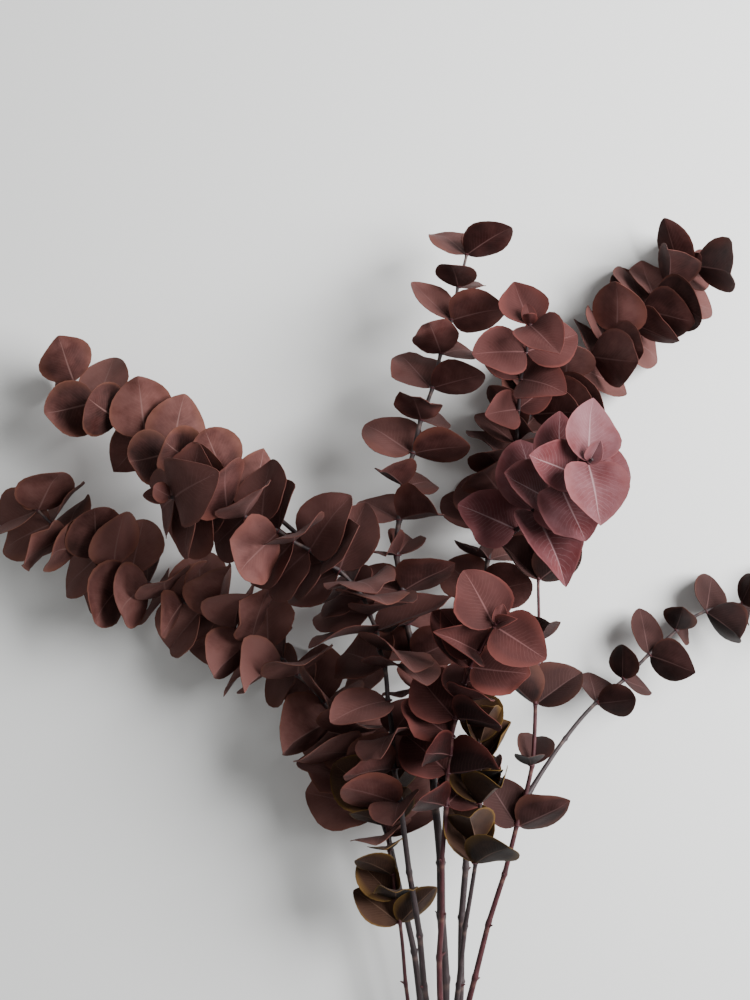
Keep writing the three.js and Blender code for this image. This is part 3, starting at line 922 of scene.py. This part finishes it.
def makeBlade(leaf, name):
    blade = blanks[leaf.habit].copy()
    blade.data = blanks[leaf.habit].data.copy()
    blade.name = name
    bpy.context.collection.objects.link(blade)
    setPoints(blade, leafPoints(leaf))
    if leaf.mirrored:
        blade.data.flip_normals()
    count = len(blade.data.vertices)
    blade.data.attributes["leafTone"].data.foreach_set("value", [leaf.tone] * count)
    blade.data.attributes["leafRim"].data.foreach_set("value", [leaf.rim] * count)
    return blade


# A collar's ring thickens with the stem: its share of thickness is least plus growth by radius.
collarLook = {
    "rise": 0.0005, "thickness": 0.0008, "least": 0.6, "growth": 120, "majorSegments": 14, "minorSegments": 6,
}


# The swollen ring where a pair of leaves clasps its stem.
def makeCollar(stem, length):
    point, radius = stem.at(length)
    turn = Vector(stem.along(length)).to_track_quat("Z", "Y").to_euler()
    deselectAll()
    bpy.ops.mesh.primitive_torus_add(
        location=point, rotation=turn, major_segments=collarLook["majorSegments"],
        minor_segments=collarLook["minorSegments"], major_radius=radius + collarLook["rise"],
        minor_radius=collarLook["thickness"] * (collarLook["least"] + collarLook["growth"] * radius),
    )
    collar = bpy.context.object
    applyPlace()
    collar.data.materials.append(barkMaterials["red_bark"])
    return collar


def makeLeafPiece(name, leaves, slotName):
    upper, under = leafMaterials[slotName]
    first, *others = [makeBlade(leaf, f"{name}_{index}") for index, leaf in enumerate(leaves)]
    piece = joinInto(first, others)
    piece.name = name
    piece.data.name = name
    piece.data.materials.clear()
    for material in (upper, under, barkMaterials["red_bark"]):
        piece.data.materials.append(material)
    makeActive(piece)
    shell = piece.modifiers.new("shell", "SOLIDIFY")
    shell.thickness = blankLook["thickness"]
    shell.offset = 0
    shell.material_offset = 1
    shell.material_offset_rim = 0
    bpy.ops.object.modifier_apply(modifier=shell.name)
    lengths = sorted({round(leaf.length, 5) for leaf in leaves})
    joinInto(piece, [makeCollar(leaves[0].stem, length) for length in lengths])
    bpy.ops.object.shade_smooth_by_angle(angle=math.radians(blankLook["smoothAngle"]))
    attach(piece, "root")
    return piece


for branch in branchNames:
    leafSlot = slotOf[pairNodes[branch][0]]
    for node, leaves in cadPairs[branch]:
        pair = makeLeafPiece(node.replace("_leaf_pair_", "_leaves_"), leaves, leafSlot)
        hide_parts(node)
    if betweenLeaves[branch]:
        makeLeafPiece(branch + "_between_leaves", betweenLeaves[branch], leafSlot)
print("leaf pieces built")

for blank in blanks.values():
    bpy.data.objects.remove(blank)


# ---- building the stems

def knucklesOf(stem):
    lengths = [leaves[0].length for node, leaves in cadPairs[stem.branch]]
    lengths += [leaf.length for leaf in betweenLeaves[stem.branch]]
    lengths = sorted(set(round(length, 4) for length in lengths))
    lowest = min(lengths)
    while lowest > 2 * stemLook["bareGap"]:
        lowest -= stemLook["bareGap"] * draw.uniform(*stemLook["bareGapRange"])
        lengths.append(lowest)
    return np.array(sorted(lengths))


def lowestLeaf(stem):
    return min([cadPairs[stem.branch][0][1][0].length] + [leaf.length for leaf in betweenLeaves[stem.branch]])


stubLook = {
    "radius": 0.0011, "tip": 0.0004, "length": 0.0032, "lean": 0.7, "sides": 6,
    "lengthRange": (0.6, 1.2),  # shares of the length
    "sunk": 0.8,  # where the stub starts, as a share of the stem's radius
}


# The short stub that a lost leaf or shoot leaves on a knuckle.
def makeStub(stem, points, radii, length):
    index = int(np.abs(stem.lengths - length).argmin())
    along, level, lift = stem.frameAt(length)
    turn = draw.uniform(0, 2 * math.pi)
    spread = level * math.cos(turn) + lift * math.sin(turn)
    aim = Vector(unit(spread + along * stubLook["lean"]))
    size = stubLook["length"] * draw.uniform(*stubLook["lengthRange"])
    start = Vector(points[index] + spread * radii[index] * stubLook["sunk"])
    start.z = max(start.z, size)
    deselectAll()
    bpy.ops.mesh.primitive_cone_add(
        vertices=stubLook["sides"], radius1=stubLook["radius"], radius2=stubLook["tip"], depth=size,
        location=start + aim * size / 2, rotation=aim.to_track_quat("Z", "Y").to_euler(),
    )
    stub = bpy.context.object
    applyPlace()
    stub.data.materials.append(barkMaterials["red_bark"])
    return stub


# The sawn face of the cut end, inside its rim of bark.
def cutEnd(piece, points, radius):
    piece.data.materials.append(cutWoodMaterial(tuple(points[0])))
    makeActive(piece)
    bpy.ops.object.mode_set(mode="EDIT")
    bpy.ops.mesh.select_mode(type="FACE")
    mesh = bmesh.from_edit_mesh(piece.data)
    backward = Vector(points[0] - points[1]).normalized()
    for face in mesh.faces:
        offset = face.calc_center_median() - Vector(points[0])
        isCap = face.normal.dot(backward) > stemLook["capFacing"]
        face.select = isCap and offset.length < float(radius)
    bpy.ops.mesh.inset(thickness=stemLook["barkRim"], depth=-stemLook["barkRim"] / 4)
    for face in bmesh.from_edit_mesh(piece.data).faces:
        if face.select:
            face.material_index = 1
    bmesh.update_edit_mesh(piece.data)
    bpy.ops.object.mode_set(mode="OBJECT")


# back and reach are lengths of the arc in radii of the parent stem, which hides its start.
footLook = {"back": 5.6, "reach": 2.8, "sections": 9, "startFullness": 0.35, "fullness": 1.45}
grownFrom = {
    "far_left_twig": "upper_left_branch", "upper_twig": "right_branch", "raised_twig": "right_branch",
    "right_twig": "thin_branch",
}  # every other side branch grows from the leader


# A side branch leaves the heart of its parent in an arc, which the CAD stem carries on.
def footArc(stem):
    parent = stems[grownFrom.get(stem.branch, "leader")]
    foot = stem.points[0]
    nearest = parent.lengths[np.linalg.norm(parent.points - foot, axis=1).argmin()]
    thickness = parent.at(nearest)[1]
    heart = parent.at(max(nearest - footLook["back"] * thickness, 0))[0]
    ahead = foot - stem.along(0) * footLook["reach"] * thickness
    share = (np.arange(footLook["sections"]) / footLook["sections"])[:, None]
    return heart * (1 - share) ** 2 + 2 * ahead * share * (1 - share) + foot * share ** 2


def makeStem(stem):
    knuckles = knucklesOf(stem)
    away = np.abs(stem.lengths[:, None] - knuckles[None]).min(axis=1)
    swell = np.exp(-(away / stemLook["knuckleLength"]) ** 2)
    foot = np.exp(-stem.lengths / stemLook["footLength"]) if stem.branch != "leader" else 0
    radii = stem.radii * (1 + stemLook["knuckleRise"] * swell + stemLook["footFlare"] * foot)
    zigzag = np.interp(stem.lengths, knuckles, [stemLook["kink"] * (-1) ** i for i in range(len(knuckles))])
    sideways = np.cross(np.gradient(stem.points, axis=0), (0, 0, 1))
    sideways /= np.linalg.norm(sideways, axis=1)[:, None]
    fade = np.clip(stem.lengths / stemLook["fadeLength"], 0, 1)
    fade *= np.clip((stem.total - stem.lengths) / stemLook["fadeLength"], 0, 1)
    points = stem.points + sideways * (zigzag * fade)[:, None]
    points[:, 2] = np.maximum(points[:, 2], radii + stemLook["clearance"])
    route, thickness, lengths, rings = points, radii, stem.lengths, swell
    if stem.branch != "leader":
        arc = footArc(stem)
        route = np.vstack([arc, points])
        fullness = np.linspace(footLook["startFullness"], footLook["fullness"], len(arc))
        thickness = np.concatenate([fullness * stem.radii[0], radii])
        behind = routeLengths(np.vstack([arc, points[:1]]))
        lengths = np.concatenate([behind[:-1] - behind[-1], stem.lengths])
        rings = np.concatenate([np.zeros(len(arc)), swell])
    deselectAll()
    bpy.ops.curve.primitive_nurbs_path_add(location=(0, 0, 0))
    piece = bpy.context.object
    piece.name = stem.branch + "_bark"
    piece.data.splines.clear()
    spline = piece.data.splines.new("POLY")
    spline.points.add(len(route) - 1)
    for control, point, radius in zip(spline.points, route, thickness):
        control.co = (*point, 1)
        control.radius = radius
    piece.data.bevel_depth = 1
    piece.data.bevel_resolution = stemLook["bevelResolution"]
    piece.data.use_fill_caps = True
    bpy.ops.object.convert(target="MESH")
    piece.data.name = piece.name
    sides = 4 + 2 * stemLook["bevelResolution"]
    count = len(piece.data.vertices)
    section = np.minimum(np.arange(count) // sides, len(route) - 1)
    turn = 2 * math.pi * (np.arange(count) % sides) / sides
    spread = thickness[section]
    straight = np.column_stack([np.cos(turn) * spread, np.sin(turn) * spread, lengths[section]])
    for label, kind in (("barkPlace", "FLOAT_VECTOR"), ("barkRing", "FLOAT")):
        piece.data.attributes.new(label, kind, "POINT")
    piece.data.attributes["barkPlace"].data.foreach_set("vector", straight.ravel())
    piece.data.attributes["barkRing"].data.foreach_set("value", rings[section])
    slotName = slotOf[stem.branch + "_stem"]
    piece.data.materials.clear()
    piece.data.materials.append(barkMaterials[slotName])
    if stem.branch == "leader":
        cutEnd(piece, points, radii[0])
    bare = [length for length in knuckles if length < lowestLeaf(stem)]
    joinInto(piece, [makeStub(stem, points, radii, length) for length in bare])
    bpy.ops.object.shade_smooth_by_angle(angle=math.radians(stemLook["smoothAngle"]))
    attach(piece, "root")
    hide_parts(stem.branch + "_stem")


for stem in stems.values():
    makeStem(stem)
print("stems built")


# ---- floor, light and camera

studio = {
    "floorColour": (0.75, 0.755, 0.75), "floorSize": 60, "floorDrop": 0.0002, "floorRoughness": 0.85,
    "keyPlace": (1.2, 0.5, 1.1), "keyTarget": (0, 0.1, 0), "keySize": 1.1, "keyPower": 88,
    "skyColour": (0.985, 0.99, 0.975), "skyStrength": 0.4,
    "lens": 67.5, "height": 1.5, "acrossShare": 0.47, "alongShare": 0.733,
}

deselectAll()
bpy.ops.mesh.primitive_plane_add(
    size=studio["floorSize"], location=(0, 0, cadBox[0].z - studio["floorDrop"]),
)
floor = bpy.context.object
floor.name = "table_top"
floorMaterial, floorTree, floorShader = startMaterial("plainTable")
floorShader.inputs["Base Color"].default_value = (*studio["floorColour"], 1)
floorShader.inputs["Roughness"].default_value = studio["floorRoughness"]
floor.data.materials.append(floorMaterial)

sky = bpy.data.worlds.new("sky")
sky.use_nodes = True
background = sky.node_tree.nodes["Background"]
background.inputs["Color"].default_value = (*studio["skyColour"], 1)
background.inputs["Strength"].default_value = studio["skyStrength"]
bpy.context.scene.world = sky


bpy.ops.object.light_add(type="AREA", location=studio["keyPlace"])
lamp = bpy.context.object
lamp.name = "windowLight"
lamp.data.size = studio["keySize"]
lamp.data.energy = studio["keyPower"]
lamp.visible_camera = False
lampAim = Vector(studio["keyTarget"]) - Vector(studio["keyPlace"])
lamp.rotation_euler = lampAim.to_track_quat("-Z", "Y").to_euler()

low, high = cadBox
across = low.x + (high.x - low.x) * studio["acrossShare"]
along = low.y + (high.y - low.y) * studio["alongShare"]
bpy.ops.object.camera_add(location=(across, along, studio["height"]), rotation=(0, 0, 0))
camera = bpy.context.object
camera.data.lens = studio["lens"]
bpy.context.scene.camera = camera
